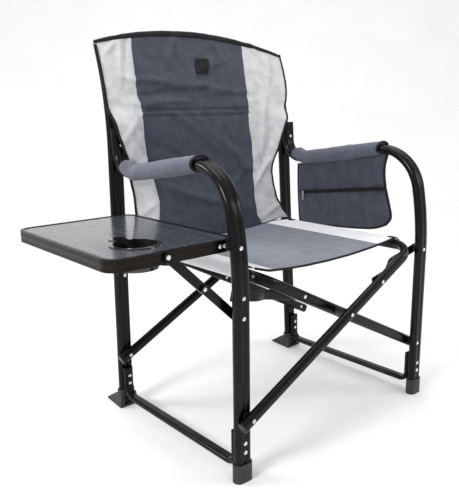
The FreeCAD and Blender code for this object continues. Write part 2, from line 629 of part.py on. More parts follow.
# ---- soft parts ----
def seat():
    """Seat cloth with a tunnel round each rail."""
    a = radians(bar_angle)
    rail_top = rail_z + (bar_height - bar_depth) / 2 * cos(a) + bar_depth / 2
    low, high = rail_top + 0.4, rail_top + 0.4 + fabric
    left, right = Vector(-rail_x - 4, 0, low), Vector(rail_x + 4, 0, low)
    lift = Z * fabric
    edges = [Part.Arc(left, Vector(0, 0, low - seat_sag), right), Part.LineSegment(right, right + lift),
             Part.Arc(right + lift, Vector(0, 0, high - seat_sag), left + lift),
             Part.LineSegment(left + lift, left)]
    cloth = prism(Part.Wire([e.toShape() for e in edges]), Y * (seat_back_y - seat_front_y))
    cloth.translate(Y * seat_front_y)
    for side, front, back in ((1, pocket_rail_front_y, pocket_rail_back_y),
                              (-1, table_rail_front_y, table_rail_back_y)):
        y0, y1 = front + bar_bend + 1, back - bar_bend - 1
        line = Part.Wire([Part.LineSegment(at(y0, rail_x, rail_z), at(y1, rail_x, rail_z)).toShape()])
        axis = Vector(-sin(a), 0, cos(a))
        sleeve = tube(line, bar_height, bar_depth, width_axis=axis, grow=gap + fabric)
        bore = tube(line, bar_height, bar_depth, width_axis=axis, grow=gap)
        if side < 0:
            sleeve, bore = mirror(sleeve), mirror(bore)
        cloth = cloth.fuse(sleeve).cut(bore)
    for frame, sign in ((cross_frame(pocket_rail_front_y, pocket_rail_back_y), 1),
                        (cross_frame(table_rail_front_y, table_rail_back_y), -1)):
        cloth = cloth.cut(frame if sign > 0 else mirror(frame))
    parts["seat_cloth"] = max(cloth.removeSplitter().Solids, key=lambda s: s.Volume)


def back_slab(front_offset, back_offset):
    """Curved slab that follows the front of the uprights, and sweeps forward at its foot."""
    def outline(offset):
        lean, top = radians(upright_lean), radians(upright_top_angle)
        knee = back_leg_y + upright_bend_z * tan(lean)
        bend_top_z = upright_bend_z + upright_radius * (sin(top) - sin(lean))
        bend_top_y = knee + upright_radius * (cos(lean) - cos(top))
        crown = at(bend_top_y + (960 - bend_top_z) * tan(top), z=960)
        seat_join = at(seat_back_y + 16, z=back_foot_z - 12)
        waist = at(back_leg_centre_y(560), z=560)
        bend = radians((upright_top_angle + upright_lean) / 2)
        mid = at(knee + upright_radius * (cos(lean) - cos(bend)),
                 z=upright_bend_z + upright_radius * (sin(bend) - sin(lean)))
        push = [at(-offset * cos(lean)), at(-offset * cos(lean)), at(-offset * cos(top), z=offset * sin(top))]
        return [seat_join + at(-offset), waist + push[0], at(knee, z=upright_bend_z) + push[1],
                mid + at(-offset * cos(bend), z=offset * sin(bend)), at(bend_top_y, z=bend_top_z) + push[2],
                crown + push[2]]

    def curve(points):
        return [Part.LineSegment(points[0], points[1]), Part.LineSegment(points[1], points[2]),
                Part.Arc(points[2], points[3], points[4]), Part.LineSegment(points[4], points[5])]

    near, far = outline(front_offset), outline(back_offset)
    edges = curve(near) + [Part.LineSegment(near[-1], far[-1])]
    edges += curve(far) + [Part.LineSegment(far[0], near[0])]
    wire = Part.Wire(Part.__sortEdges__([e.toShape() for e in edges]))
    slab = prism(wire, X * 700)
    slab.translate(X * -350)
    return slab


def back():
    """Back cloth: arched top edge, sides that leave the uprights and curve in to the seat."""
    inner_x = leg_x - leg_width / 2 - 20
    right = [Vector(back_foot_x, 0, back_foot_z - 12), Vector(inner_x - 8, 0, 560),
             Vector(inner_x - 3, 0, back_side_join_z), Vector(back_top_x - 6, 0, back_side_join_z + 30),
             Vector(back_top_x, 0, back_corner_z)]
    left = [Vector(-p.x, 0, p.z) for p in right]
    edges = [Part.Arc(right[0], Vector(back_foot_x + 14, 0, (right[0].z + right[1].z) / 2), right[1]),
             Part.LineSegment(right[1], right[2]), Part.LineSegment(right[2], right[3]),
             Part.LineSegment(right[3], right[4]),
             Part.Arc(right[4], Vector(0, 0, back_crown_z), left[4]),
             Part.LineSegment(left[4], left[3]), Part.LineSegment(left[3], left[2]),
             Part.LineSegment(left[2], left[1]),
             Part.Arc(left[1], Vector(-back_foot_x - 14, 0, (right[0].z + right[1].z) / 2), left[0]),
             Part.LineSegment(left[0], right[0])]
    outline = prism(Part.Wire([e.toShape() for e in edges]), Y * 500)
    face = leg_depth / 2 + 1.4
    cloth = back_slab(face + fabric, face).common(outline)
    parts["back_cloth"] = max(cloth.Solids, key=lambda s: s.Volume)
    label = Part.makeBox(46, 500, 42, Vector(-14, 0, 831))
    parts["label_patch"] = back_slab(face + fabric + 1.0, face + fabric + 0.05).common(label)


def pocket():
    """Flat zipped pocket that hangs under the pocket-side arm pad."""
    outline = [(186, 560), (-102, 602), (-126, 434), (-42, 418), (182, 408)]
    points = [at(y, 0, z) for y, z in outline]
    points.append(points[0])
    bag = prism(Part.makePolygon(points), X * 9)
    bag.translate(X * -4.5)
    bag = yaw_in(bag)
    line = [at(180, 0, 500), at(-106, 0, 534)]
    run = (line[1] - line[0]).normalize()
    up = Vector(0, run.z, -run.y)
    tape = Part.makePolygon([line[0] - up * 5, line[1] - up * 5, line[1] + up * 5, line[0] + up * 5,
                             line[0] - up * 5])
    strip = prism(tape, X * 2)
    strip.translate(X * -6.5)
    parts["pocket"] = bag
    parts["pocket_zip"] = yaw_in(strip)
    pull_at = line[0] + run * 8
    slider = Part.makeBox(3.2, 8, 7, Vector(-9.95, pull_at.y - 8, pull_at.z - 3.5))
    pull = Part.makeBox(1.6, 5, 20, Vector(-9.4, pull_at.y - 6.5, pull_at.z - 23))
    parts["zip_slider"] = yaw_in(slider.fuse(pull).removeSplitter())


side_frame("table_side", True)
side_frame("pocket_side", False)
cross_frames()
links()
stays()
table()
seat()
back()
pocket()

# ---- origin at the middle of the base of the bounding box, then one file per piece ----
box = Part.makeCompound(list(parts.values())).optimalBoundingBox(False, False)
to_origin = Vector(-(box.XMin + box.XMax) / 2, -(box.YMin + box.YMax) / 2, -box.ZMin)
os.makedirs("parts", exist_ok=True)
for old in os.listdir("parts"):
    if old.endswith(".step") and old[:-5] not in parts:
        os.remove(os.path.join("parts", old))
for name, shape in parts.items():
    moved = shape.copy()
    moved.translate(to_origin)
    moved.exportStep("parts/" + name + ".step")
    if not moved.isValid():
        print("not valid:", name)
print("nodes:", len(parts))
print("moved by:", [round(c, 4) for c in to_origin])
print("size:", round(box.XLength, 1), round(box.YLength, 1), round(box.ZLength, 1))
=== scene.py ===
import bmesh
import bpy
import json
from math import asin, cos, exp, pi, radians, sin, tan
from mathutils import Matrix, Vector, noise

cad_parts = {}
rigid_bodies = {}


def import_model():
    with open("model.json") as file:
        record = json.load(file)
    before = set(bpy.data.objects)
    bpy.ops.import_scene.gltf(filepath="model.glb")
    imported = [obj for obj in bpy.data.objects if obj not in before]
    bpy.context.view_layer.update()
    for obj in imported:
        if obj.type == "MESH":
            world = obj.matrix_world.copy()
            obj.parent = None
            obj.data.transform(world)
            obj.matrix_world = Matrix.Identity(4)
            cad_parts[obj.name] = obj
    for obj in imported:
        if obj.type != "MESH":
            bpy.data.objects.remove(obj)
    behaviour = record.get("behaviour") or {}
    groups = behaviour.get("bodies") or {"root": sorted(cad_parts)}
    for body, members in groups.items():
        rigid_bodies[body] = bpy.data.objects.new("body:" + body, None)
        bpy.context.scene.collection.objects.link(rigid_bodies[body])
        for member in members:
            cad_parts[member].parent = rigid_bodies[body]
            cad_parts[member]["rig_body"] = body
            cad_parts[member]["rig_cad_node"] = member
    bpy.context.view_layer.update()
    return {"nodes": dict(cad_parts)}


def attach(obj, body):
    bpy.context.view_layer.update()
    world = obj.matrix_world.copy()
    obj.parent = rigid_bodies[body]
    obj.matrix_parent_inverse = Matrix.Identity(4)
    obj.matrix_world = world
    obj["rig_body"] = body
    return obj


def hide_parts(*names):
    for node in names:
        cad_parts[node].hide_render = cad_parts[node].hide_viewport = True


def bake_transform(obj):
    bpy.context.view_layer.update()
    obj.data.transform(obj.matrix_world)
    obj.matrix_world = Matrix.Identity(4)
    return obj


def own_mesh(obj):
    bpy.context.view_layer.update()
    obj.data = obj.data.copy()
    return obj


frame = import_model()
nodes = frame["nodes"]
scene = bpy.context.scene

# Everything is drawn in millimetres about the middle of the chair, then placed on the frame.
SHIFT = Vector((118.0, -33.4926, 0.0))


def place(p):
    return (Vector(p) + SHIFT) / 1000.0


# ---- materials ----
def shader(name, colour, rough, metallic=0.0, specular=0.5, sheen=0.0, coat=0.0, coat_rough=0.1):
    mat = bpy.data.materials.new(name)
    mat.use_nodes = True
    b = mat.node_tree.nodes["Principled BSDF"]
    b.inputs["Base Color"].default_value = (*colour, 1)
    b.inputs["Roughness"].default_value = rough
    b.inputs["Metallic"].default_value = metallic
    b.inputs["Specular IOR Level"].default_value = specular
    b.inputs["Sheen Weight"].default_value = sheen
    b.inputs["Coat Weight"].default_value = coat
    b.inputs["Coat Roughness"].default_value = coat_rough
    return mat


def add(mat, kind, **values):
    n = mat.node_tree.nodes.new(kind)
    for key, value in values.items():
        if key in n.inputs:
            n.inputs[key].default_value = value
        else:
            setattr(n, key, value)
    return n


def wire(mat, a, b):
    mat.node_tree.links.new(a, b)


def maths(mat, op, a, b=0.0):
    n = add(mat, "ShaderNodeMath", operation=op)
    for i, v in enumerate((a, b)):
        if isinstance(v, (int, float)):
            n.inputs[i].default_value = v
        else:
            wire(mat, v, n.inputs[i])
    return n.outputs[0]


def scaled(mat, source, size):
    m = add(mat, "ShaderNodeMapping")
    m.inputs["Scale"].default_value = size
    wire(mat, source, m.inputs["Vector"])
    return m.outputs[0]


def cloud(mat, source, scale, detail=4.0, rough=0.55):
    n = add(mat, "ShaderNodeTexNoise")
    n.inputs["Scale"].default_value = scale
    n.inputs["Detail"].default_value = detail
    n.inputs["Roughness"].default_value = rough
    wire(mat, source, n.inputs["Vector"])
    return n.outputs["Fac"]


def spread(mat, value, low, high):
    r = add(mat, "ShaderNodeMapRange")
    r.inputs["From Min"].default_value = 0.3
    r.inputs["From Max"].default_value = 0.7
    r.inputs["To Min"].default_value = low
    r.inputs["To Max"].default_value = high
    wire(mat, value, r.inputs["Value"])
    return r.outputs[0]


def tint(mat, value, low, high, lo=0.3, hi=0.7):
    r = add(mat, "ShaderNodeValToRGB")
    r.color_ramp.elements[0].position = lo
    r.color_ramp.elements[0].color = (*low, 1)
    r.color_ramp.elements[1].position = hi
    r.color_ramp.elements[1].color = (*high, 1)
    wire(mat, value, r.inputs[0])
    return r.outputs[0]


def relief(mat, height, strength, depth, under=None):
    b = add(mat, "ShaderNodeBump")
    b.inputs["Strength"].default_value = strength
    b.inputs["Distance"].default_value = depth
    wire(mat, height, b.inputs["Height"])
    if under is not None:
        wire(mat, under, b.inputs["Normal"])
    return b.outputs[0]


def to(mat, output, name):
    wire(mat, output, mat.node_tree.nodes["Principled BSDF"].inputs[name])


def here(mat, kind="Object"):
    return add(mat, "ShaderNodeTexCoord").outputs[kind]


def powder_coat():
    """Black powder coat: fine orange peel, faint dust and rubbed patches."""
    m = shader("powder_coat", (0.003, 0.0028, 0.0028), 0.26, specular=0.14, coat=0.1, coat_rough=0.07)
    at = here(m)
    to(m, tint(m, cloud(m, at, 22), (0.0012, 0.0011, 0.0012), (0.005, 0.004, 0.0034)), "Base Color")
    to(m, spread(m, cloud(m, at, 30, 3), 0.21, 0.27), "Roughness")
    fine = relief(m, cloud(m, at, 700, 2), 0.035, 0.0003)
    to(m, relief(m, cloud(m, at, 6, 2), 0.03, 0.001, fine), "Normal")
    return m


def metal(name, colour, rough, scale=900):
    m = shader(name, colour, rough, metallic=1.0)
    at = here(m)
    dark = tuple(c * 0.72 for c in colour)
    to(m, tint(m, cloud(m, at, 140), dark, colour), "Base Color")
    to(m, spread(m, cloud(m, at, scale, 5), rough * 0.7, rough * 1.5), "Roughness")
    to(m, relief(m, cloud(m, at, scale, 4), 0.08, 0.0003), "Normal")
    return m


def plastic(name, colour, rough, grain=800, coat=0.0):
    m = shader(name, colour, rough, coat=coat, coat_rough=0.08)
    at = here(m)
    light = tuple(c * 1.9 + 0.004 for c in colour)
    to(m, tint(m, cloud(m, at, 45), colour, light), "Base Color")
    to(m, spread(m, cloud(m, at, 120, 6), rough * 0.8, rough * 1.25), "Roughness")
    to(m, relief(m, cloud(m, at, grain, 3), 0.2, 0.0005), "Normal")
    return m


def woven(name, dark, light, pitch=0.0011, sheen=0.25, rough=0.82, crumple=0.5, ribs=0.0, uv=True):
    """Plain weave: warp and weft threads, uneven dye, soft crumples and a little sheen."""
    m = shader(name, dark, rough, sheen=sheen, specular=0.28)
    at = here(m, "UV") if uv else here(m)
    part = add(m, "ShaderNodeSeparateXYZ")
    wire(m, at, part.inputs[0])
    turn = 2 * pi / pitch
    a = maths(m, "SINE", maths(m, "MULTIPLY", part.outputs[0], turn))
    b = maths(m, "SINE", maths(m, "MULTIPLY", part.outputs[1 if uv else 2], turn))
    threads = maths(m, "MULTIPLY", a, b)
    if ribs:
        rib = maths(m, "SINE", maths(m, "MULTIPLY", part.outputs[1], 2 * pi / ribs))
        threads = maths(m, "ADD", threads, maths(m, "MULTIPLY", rib, 1.4))
    dye = maths(m, "ADD", maths(m, "MULTIPLY", threads, 0.05), cloud(m, at, 34, 6, 0.62))
    to(m, tint(m, dye, dark, light), "Base Color")
    to(m, spread(m, cloud(m, at, 26, 4), rough - 0.12, rough + 0.08), "Roughness")
    fine = relief(m, threads, 0.35, 0.0002)
    folds = relief(m, cloud(m, at, 17, 3, 0.5), crumple, 0.006, fine)
    to(m, relief(m, cloud(m, at, 70, 4, 0.6), crumple * 0.5, 0.0013, folds), "Normal")
    return m


def laminate():
    """Dark brushed grain that runs front to back under a gloss film."""
    m = shader("laminate", (0.04, 0.045, 0.055), 0.22, coat=0.6, coat_rough=0.12)
    at = here(m)
    grain = cloud(m, scaled(m, at, (260, 7, 1)), 1.0, 8, 0.65)
    broad = cloud(m, scaled(m, at, (40, 1.4, 1)), 1.0, 4)
    both = maths(m, "ADD", maths(m, "MULTIPLY", grain, 0.7), maths(m, "MULTIPLY", broad, 0.3))
    to(m, tint(m, both, (0.01, 0.012, 0.016), (0.07, 0.079, 0.097)), "Base Color")
    to(m, spread(m, grain, 0.16, 0.4), "Roughness")
    to(m, relief(m, grain, 0.25, 0.0005), "Normal")
    return m


PAINT = powder_coat()
RIVET = metal("rivet", (0.8, 0.8, 0.82), 0.2)
ZIP_METAL = metal("zip_metal", (0.82, 0.82, 0.84), 0.16)
RIM = metal("rim", (0.026, 0.022, 0.019), 0.3)
RUBBER = plastic("rubber", (0.012, 0.012, 0.013), 0.6)
BLACK = plastic("black_plastic", (0.009, 0.009, 0.01), 0.42)
CUP = plastic("cup", (0.007, 0.007, 0.008), 0.14, 300, coat=0.6)
LAMINATE = laminate()
SLATE = woven("slate", (0.034, 0.039, 0.056), (0.056, 0.064, 0.088), sheen=0.12)
SILVER = woven("silver", (0.46, 0.468, 0.48), (0.62, 0.63, 0.64), crumple=0.65)
WHITE = woven("white_band", (0.72, 0.73, 0.76), (0.85, 0.86, 0.88), crumple=0.3)
SEAT = woven("seat_weave", (0.125, 0.138, 0.18), (0.185, 0.202, 0.25), crumple=0.12, ribs=0.0042)
BINDING = woven("binding", (0.003, 0.003, 0.0035), (0.009, 0.009, 0.01), pitch=0.0016, sheen=0.04,
                crumple=0.2)
POCKET = woven("pocket_weave", (0.03, 0.036, 0.052), (0.055, 0.064, 0.088), sheen=0.12, crumple=0.45)
PAD = woven("pad_weave", (0.066, 0.074, 0.102), (0.1, 0.112, 0.146), crumple=0.18, uv=False)
THREAD = woven("thread", (0.55, 0.55, 0.56), (0.8, 0.8, 0.8), pitch=0.0006, crumple=0.0)
DARK_THREAD = woven("dark_thread", (0.02, 0.022, 0.03), (0.04, 0.045, 0.06), pitch=0.0006,
                    crumple=0.0)
LABEL = woven("label", (0.0025, 0.0025, 0.003), (0.007, 0.007, 0.008), pitch=0.0007, sheen=0.04,
              crumple=0.1)
TAPE = woven("zip_tape", (0.003, 0.003, 0.0035), (0.008, 0.008, 0.009), pitch=0.0009, sheen=0.04,
             crumple=0.05)

for name, obj in nodes.items():
    if name.endswith(("rivets", "pins", "studs")):
        finish = RIVET
    elif name == "zip_slider":
        finish = ZIP_METAL
    elif name == "table_board":
        finish = LAMINATE
    elif name == "table_rim":
        finish = RIM
    elif name == "cup_holder":
        finish = CUP
    elif name.endswith("boot"):
        finish = RUBBER
    elif name.endswith(("cap", "plugs", "washers", "washer", "bushes", "spacers")):
        finish = BLACK
    elif name == "pocket_zip":
        finish = TAPE
    elif name == "label_patch":
        finish = LABEL
    else:
        finish = PAINT
    obj.data.materials.clear()
    obj.data.materials.append(finish)


# ---- mesh tools ----
def curve(keys, t):
    """Smooth value at t through a list of (t, value) keys."""
    if t <= keys[0][0]:
        return keys[0][1]
    for (t0, v0), (t1, v1) in zip(keys, keys[1:]):
        if t <= t1:
            s = (t - t0) / (t1 - t0)
            i = keys.index((t0, v0))
            before = keys[i - 1] if i else (2 * t0 - t1, 2 * v0 - v1)
            after = keys[i + 2] if i + 2 < len(keys) else (2 * t1 - t0, 2 * v1 - v0)
            m0 = (v1 - before[1]) / (t1 - before[0]) * (t1 - t0)
            m1 = (after[1] - v0) / (after[0] - t0) * (t1 - t0)
            return ((2 * s ** 3 - 3 * s ** 2 + 1) * v0 + (s ** 3 - 2 * s ** 2 + s) * m0
                    + (3 * s ** 2 - 2 * s ** 3) * v1 + (s ** 3 - s ** 2) * m1)
    return keys[-1][1]


def grid_rim(nr, nc):
    """Indices once round the outside of a grid of points."""
    rim = [c for c in range(nc)] + [r * nc + nc - 1 for r in range(1, nr)]
    return rim + [(nr - 1) * nc + c for c in range(nc - 2, -1, -1)] + [r * nc for r in range(nr - 2, 0, -1)]


def sheet_mesh(name, rows, mats, pick=None, thick=2.2):
    """Closed thin cloth from rows of points; the back is the front moved in by its normals."""
    nr, nc = len(rows), len(rows[0])
    points = [Vector(p) for row in rows for p in row]
    normals = []
    for r in range(nr):
        for c in range(nc):
            along = points[min(r + 1, nr - 1) * nc + c] - points[max(r - 1, 0) * nc + c]
            across = points[r * nc + min(c + 1, nc - 1)] - points[r * nc + max(c - 1, 0)]
            normals.append(across.cross(along).normalized())
    back = [p - n * thick for p, n in zip(points, normals)]
    count = nr * nc
    faces, kinds = [], []
    for r in range(nr - 1):
        for c in range(nc - 1):
            a, b, d, e = r * nc + c, r * nc + c + 1, (r + 1) * nc + c + 1, (r + 1) * nc + c
            kind = pick(r, c) if pick else 0
            faces += [(a, b, d, e), (a + count, e + count, d + count, b + count)]
            kinds += [kind, kind]
    ring = grid_rim(nr, nc)
    for i, j in zip(ring, ring[1:] + ring[:1]):
        faces.append((j, i, i + count, j + count))
        kinds.append(kinds[0])
    mesh = bpy.data.meshes.new(name)
    mesh.from_pydata([place(p) for p in points + back], [], faces)
    for m in mats:
        mesh.materials.append(m)
    for face, kind in zip(mesh.polygons, kinds):
        face.material_index = kind
        face.use_smooth = True
    # lengths along the cloth, in metres, carry the weave
    width = [0.0] * count
    length = [0.0] * count
    for r in range(nr):
        for c in range(nc):
            i = r * nc + c
            if c:
                width[i] = width[i - 1] + (points[i] - points[i - 1]).length / 1000
            if r:
                length[i] = length[i - nc] + (points[i] - points[i - nc]).length / 1000
    uv = mesh.uv_layers.new(name="cloth")
    for loop in mesh.loops:
        i = loop.vertex_index % count
        uv.data[loop.index].uv = (width[i], length[i])
    obj = bpy.data.objects.new(name, mesh)
    scene.collection.objects.link(obj)
    return obj


def strip(name, path, normals, width, thick, mat, tie=None):
    """Narrow band or thread with a rounded top along a path; width and thick are in mm."""
    rows = []
    n = len(path)
    for i in range(n):
        along = (Vector(path[min(i + 1, n - 1)]) - Vector(path[max(i - 1, 0)])).normalized()
        up = Vector(normals[i]).normalized()
        side = along.cross(up).normalized()
        w = width(i / (n - 1)) if callable(width) else width
        base = Vector(path[i])
        ring = []
        for k in range(8):
            turn = 2 * pi * k / 8
            ring.append(base + side * (cos(turn) * w / 2) + up * (sin(turn) * thick / 2))
        rows.append(ring)
    verts = [place(p) for ring in rows for p in ring]
    faces = []
    for r in range(n - 1):
        for k in range(8):
            j = (k + 1) % 8
            faces.append((r * 8 + k, r * 8 + j, (r + 1) * 8 + j, (r + 1) * 8 + k))
    faces.append(tuple(range(7, -1, -1)))
    faces.append(tuple((n - 1) * 8 + k for k in range(8)))
    mesh = bpy.data.meshes.new(name)
    mesh.from_pydata(verts, [], faces)
    mesh.materials.append(mat)
    far = [0.0]
    for i in range(1, n):
        far.append(far[-1] + (Vector(path[i]) - Vector(path[i - 1])).length / 1000)
    uv = mesh.uv_layers.new(name="cloth")
    for loop in mesh.loops:
        r, k = divmod(loop.vertex_index, 8)
        uv.data[loop.index].uv = (far[r], k * 0.002)
    for face in mesh.polygons:
        face.use_smooth = len(face.vertices) == 4
    obj = bpy.data.objects.new(name, mesh)
    scene.collection.objects.link(obj)
    return obj


def merge(name, pieces):
    """One object from several closed meshes that are sewn down together."""
    mesh = bmesh.new()
    for p in pieces:
        mesh.from_mesh(p.data)
    out = bpy.data.meshes.new(name)
    mesh.to_mesh(out)
    mesh.free()
    out.materials.append(pieces[0].data.materials[0])
    if "cloth" not in out.uv_layers:
        out.uv_layers.new(name="cloth")
    obj = bpy.data.objects.new(name, out)
    scene.collection.objects.link(obj)
    for p in pieces:
        bpy.data.objects.remove(p)
    return obj


def stitches(name, path, normals, mat, length=3.4, gap=1.6, thread=0.9):
    """Row of separate stitches along a path."""
    run = [0.0]
    for a, b in zip(path, path[1:]):
        run.append(run[-1] + (Vector(b) - Vector(a)).length)

    def at(s):
        for i in range(len(path) - 1):
            if s <= run[i + 1]:
                t = (s - run[i]) / max(run[i + 1] - run[i], 1e-6)
                return Vector(path[i]).lerp(Vector(path[i + 1]), t), Vector(normals[i])
        return Vector(path[-1]), Vector(normals[-1])

    made = []
    step = length + gap
    for k in range(int(run[-1] / step)):
        ends = [at(k * step + length * f) for f in (0.0, 0.5, 1.0)]
        lift = (0.0, 0.35, 0.0)
        points = [p + n * h for (p, n), h in zip(ends, lift)]
        made.append(strip(name + str(k), points, [n for _, n in ends], thread, thread * 0.8, mat))
    return merge(name, made)


# ---- back cloth ----
# The rear uprights lean back, bend at one height and lean further above the bend.
LEAN, TOP = radians(1.7), radians(20)
UPRIGHT_Y, BEND_Z, BEND_RADIUS = 236, 650, 700
KNEE = UPRIGHT_Y + BEND_Z * tan(LEAN)
BEND_END = BEND_Z + BEND_RADIUS * (sin(TOP) - sin(LEAN))


def upright_y(z):
    """Centre of the rear uprights at a height."""
    if z < BEND_Z:
        return UPRIGHT_Y + z * tan(LEAN)
    if z < BEND_END:
        return KNEE + BEND_RADIUS * (cos(LEAN) - cos(asin(sin(LEAN) + (z - BEND_Z) / BEND_RADIUS)))
    return KNEE + BEND_RADIUS * (cos(LEAN) - cos(TOP)) + (z - BEND_END) * tan(TOP)


# Outline of the sling as (height, x): its two side edges and the two seams between its panels.
RIGHT_EDGE = [(424, 262), (449, 243), (480, 226), (505, 219), (568, 224), (601, 233), (676, 253), (730, 279),
              (790, 300), (893, 303)]
LEFT_EDGE = [(424, -262), (449, -259), (489, -256), (552, -252), (596, -261), (646, -281), (695, -297),
             (743, -303), (893, -303)]
LEFT_SEAM = [(424, -194), (471, -190), (520, -181), (554, -184), (606, -199), (685, -207), (738, -207),
             (811, -212), (935, -193)]
RIGHT_SEAM = [(424, 150), (447, 140), (540, 148), (635, 152), (696, 144), (744, 147), (836, 153), (935, 170)]


def fold(x, z, cx, cz, angle, long, wide, height):
    """Ridge of a crease with its middle at (cx, cz)."""
    a = radians(angle)
    u = (x - cx) * cos(a) + (z - cz) * sin(a)
    v = -(x - cx) * sin(a) + (z - cz) * cos(a)
    v += 0.06 * u * sin(u / 38.0)
    return height * exp(-(u / long) ** 2 - (v / wide) ** 2)


CREASES = [(-150, 812, -6, 90, 8, 4.5), (-110, 786, 4, 120, 7, -4.0), (20, 800, -8, 150, 10, 3.2),
           (-120, 762, 2, 110, 6, 3.6), (60, 775, 3, 120, 8, -2.6), (-60, 700, -34, 130, 12, 3.4),
           (60, 640, -38, 150, 14, 3.6), (-80, 610, -30, 110, 11, -3.0), (100, 560, 40, 80, 12, 3.2),
           (-120, 540, -20, 90, 10, 2.8), (0, 500, -16, 150, 12, 3.4), (20, 850, 20, 70, 10, 2.8),
           (80, 880, -62, 50, 9, 3.0), (-90, 885, 60, 50, 9, 3.2), (-245, 860, 74, 60, 9, 4.4),
           (-270, 885, 40, 36, 7, 4.4), (-228, 880, 68, 40, 7, -3.6), (-240, 740, -50, 60, 9, 4.2),
           (-250, 700, 42, 60, 9, 4.0), (-235, 660, -48, 55, 8, -3.6), (-225, 610, 30, 45, 8, 3.4),
           (215, 880, -66, 44, 8, 4.2), (240, 840, 75, 60, 10, 3.2), (200, 720, 80, 70, 9, 3.4),
           (210, 640, 66, 60, 9, -3.4), (190, 570, 44, 46, 8, 3.8), (200, 520, -40, 40, 8, 3.4),
           (200, 455, 18, 44, 7, 3.6), (-222, 500, 24, 40, 8, 3.0)]


def back_point(x, z, lift=0.0):
    """Point on the front of the back cloth, lifted off it by some mm."""
    edge = 303.0
    across = max(0.0, 1 - (x / edge) ** 2)
    if z > 560:
        y = upright_y(z) - 14.4
    else:
        y = 203.0 + (upright_y(560) - 14.4 - 203.0) * (max(0.0, z - 409) / 151) ** 1.1
    # the sides pass in front of the upturned ends of the arm tubes
    side = min(1.0, max(0.0, (abs(x) - 215) / 45))
    height = min(1.0, max(0.0, (z - 590) / 40)) * min(1.0, max(0.0, (752 - z) / 46))
    y -= 23.0 * side * side * (3 - 2 * side) * height * height * (3 - 2 * height)
    y += 6.5 * across * min(1.0, max(0.0, (z - 430) / 120))
    bump = 1.75 * sum(fold(x, z, *c) for c in CREASES) * min(1.0, across * 3.0)
    bump += 2.4 * noise.noise(Vector((x / 62, z / 48, 2.0))) * min(1, across * 2)
    bump += 0.9 * noise.noise(Vector((x / 19, z / 15, 7.0)))
    inside = -207 < x < 147
    if inside:
        bump += 1.8 * exp(-((z - 748) / 4.0) ** 2) - 3.2 * exp(-((z - 739) / 2.4) ** 2)
        bump += 2.4 * exp(-((z - 733) / 3.6) ** 2) - 2.2 * exp(-((z - 725) / 2.4) ** 2)
    for seam in (LEFT_SEAM, RIGHT_SEAM):
        bump -= 1.5 * exp(-((x - curve(seam, z)) / 3.2) ** 2)
    y -= max(-6.0, min(8.0, bump)) + lift
    return Vector((x, y, z))


def foot_z(x):
    """Bottom edge, on the rear of the sagging seat."""
    return 426.5 - 15.0 * max(0.0, 1 - (x / 232) ** 2)


def top_z(x):
    """Arched top edge, highest a little towards the table side."""
    return 893 + 45 * (1 - abs((x + 20) / 323) ** 2.1)


def back_columns():
    """Even columns between the edges and the seams, so that the panels meet on the seams."""
    plan = []
    for first, last, n in ((0, 1, 22), (1, 2, 66), (2, 3, 26)):
        for i in range(n):
            plan.append((first, last, i / n))
    plan.append((2, 3, 1.0))
    return plan


PLAN = back_columns()
LEVELS = 118


def back_grid():
    rows = []
    for r in range(LEVELS + 1):
        v = r / LEVELS
        row = []
        for first, last, t in PLAN:
            z = foot_z(0) + v * 469
            for _ in range(3):
                bands = (curve(LEFT_EDGE, min(z, 893)), curve(LEFT_SEAM, z), curve(RIGHT_SEAM, z),
                         curve(RIGHT_EDGE, min(z, 893)))
                x = bands[first] * (1 - t) + bands[last] * t
                z = foot_z(x) + v * (top_z(x) - foot_z(x))
            row.append(back_point(x, z))
        rows.append(row)
    return rows


grid = back_grid()
back_kinds = [1 if p[:2] == (1, 2) else 0 for p in PLAN]
back = sheet_mesh("back_sling", grid, [SILVER, SLATE], lambda r, c: back_kinds[c], 2.4)
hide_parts("back_cloth")


def back_normal(x, z):
    a = back_point(x + 4, z) - back_point(x - 4, z)
    b = back_point(x, z + 4) - back_point(x, z - 4)
    return a.cross(b).normalized()


def on_back(points, lift):
    """Positions and normals along (x, z) points on the back cloth."""
    return [back_point(x, z, lift) for x, z in points], [back_normal(x, z) for x, z in points]


trims = []


def back_line(name, points, width, thick, mat, lift=0.4):
    path, ups = on_back(points, lift)
    trims.append(strip(name, path, ups, width, thick, mat))


def spaced(a, b, n):
    return [a + (b - a) * i / n for i in range(n + 1)]


top_path = [(x, top_z(x) - 5) for x in spaced(-305, 304, 72)]
back_line("top_binding", top_path, lambda t: 7 + 9 * max(0.0, sin(pi * t)) ** 0.6, 6.4, BINDING, 0.5)
back_line("left_side_binding", [(curve(LEFT_EDGE, z), z) for z in spaced(426, 893, 100)],
          lambda t: 6.5 + 2.5 * t, 4.8, BINDING)
back_line("right_side_binding", [(curve(RIGHT_EDGE, z), z) for z in spaced(426, 893, 100)],
          lambda t: 6.5 - 1.0 * t, 4.6, BINDING)
for tag, seam, off in (("left", LEFT_SEAM, -4.5), ("right", RIGHT_SEAM, 4.5)):
    rows = [z for z in spaced(428, 912, 150)]
    path, ups = on_back([(curve(seam, z) + off, z) for z in rows], 0.3)
    trims.append(stitches(tag + "_seam_stitching", path, ups, THREAD))
for z0, tag in ((745, "upper"), (728.5, "lower")):
    path, ups = on_back([(x, z0) for x in spaced(-203, 143, 100)], 0.3)
    trims.append(stitches(tag + "_pleat_stitching", path, ups, DARK_THREAD))

